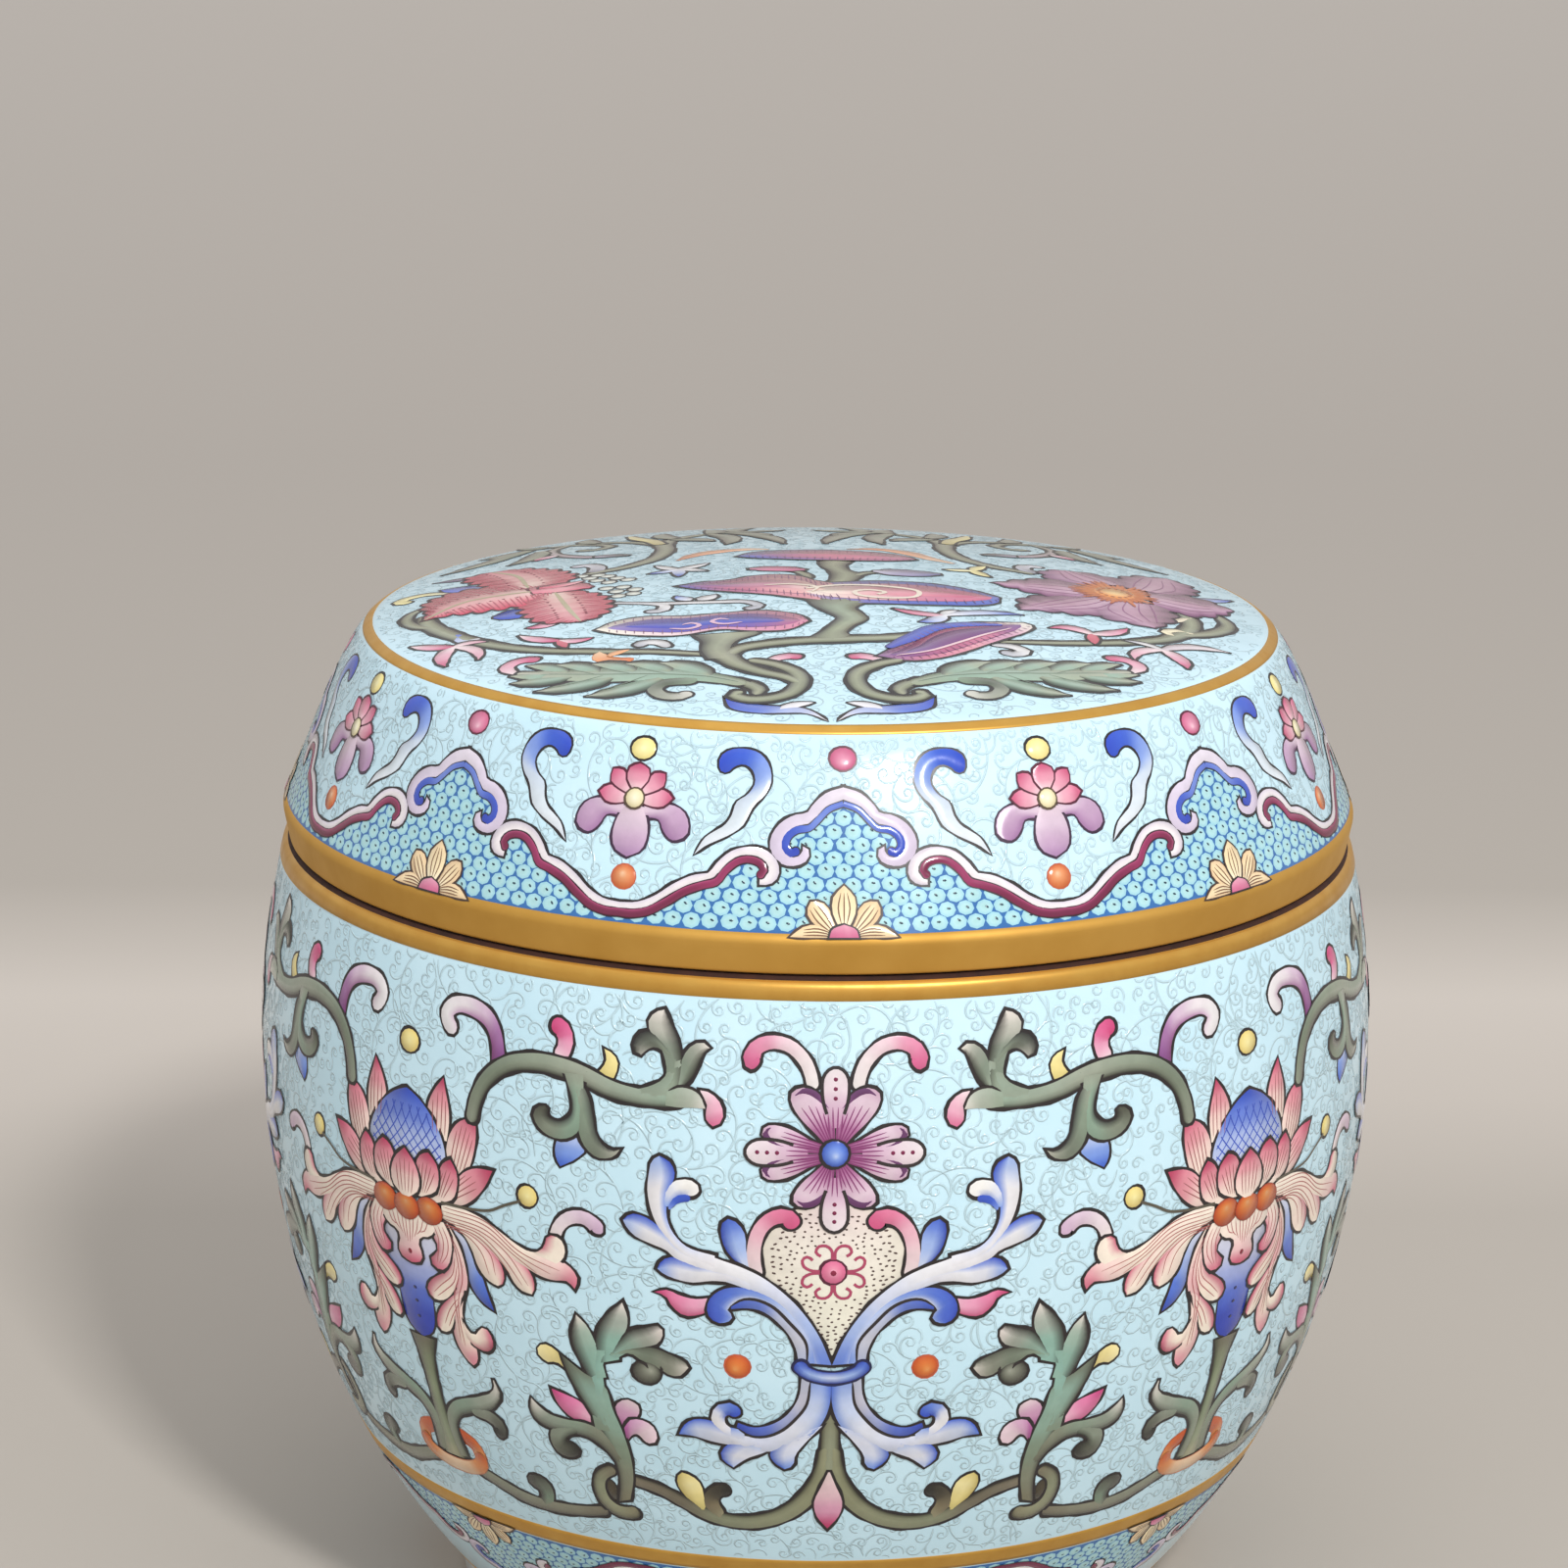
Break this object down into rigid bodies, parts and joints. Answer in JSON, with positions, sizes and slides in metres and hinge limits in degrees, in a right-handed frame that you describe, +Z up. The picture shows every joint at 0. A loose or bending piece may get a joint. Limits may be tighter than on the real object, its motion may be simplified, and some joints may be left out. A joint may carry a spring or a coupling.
{
  "type": "lidded jar",
  "caption": "Round-bellied porcelain jar with a domed lift-off lid, enamelled scrolling lotus on a pale blue ground and gilt bands.",
  "frame": {"origin": "centre of the underside of the foot ring", "axes": "+Z up, the jar's turning axis; -Y faces the viewer of the main motif"},
  "size_m": [0.135, 0.135, 0.1253],
  "materials": {
    "body_glaze": "glossy pale blue enamel glaze over incised scrollwork, white glaze inside",
    "lid_glaze": "glossy pale blue enamel glaze over incised scrollwork, white glaze inside",
    "painted_enamel": "glossy overglaze enamels in pink, purple, blue, green and yellow with dark outlines",
    "gilding": "satin burnished gold bands, slightly rubbed"
  },
  "bodies": {
    "root": {"jar_body": "body_glaze", "lid": "lid_glaze"}
  },
  "joints": []
}
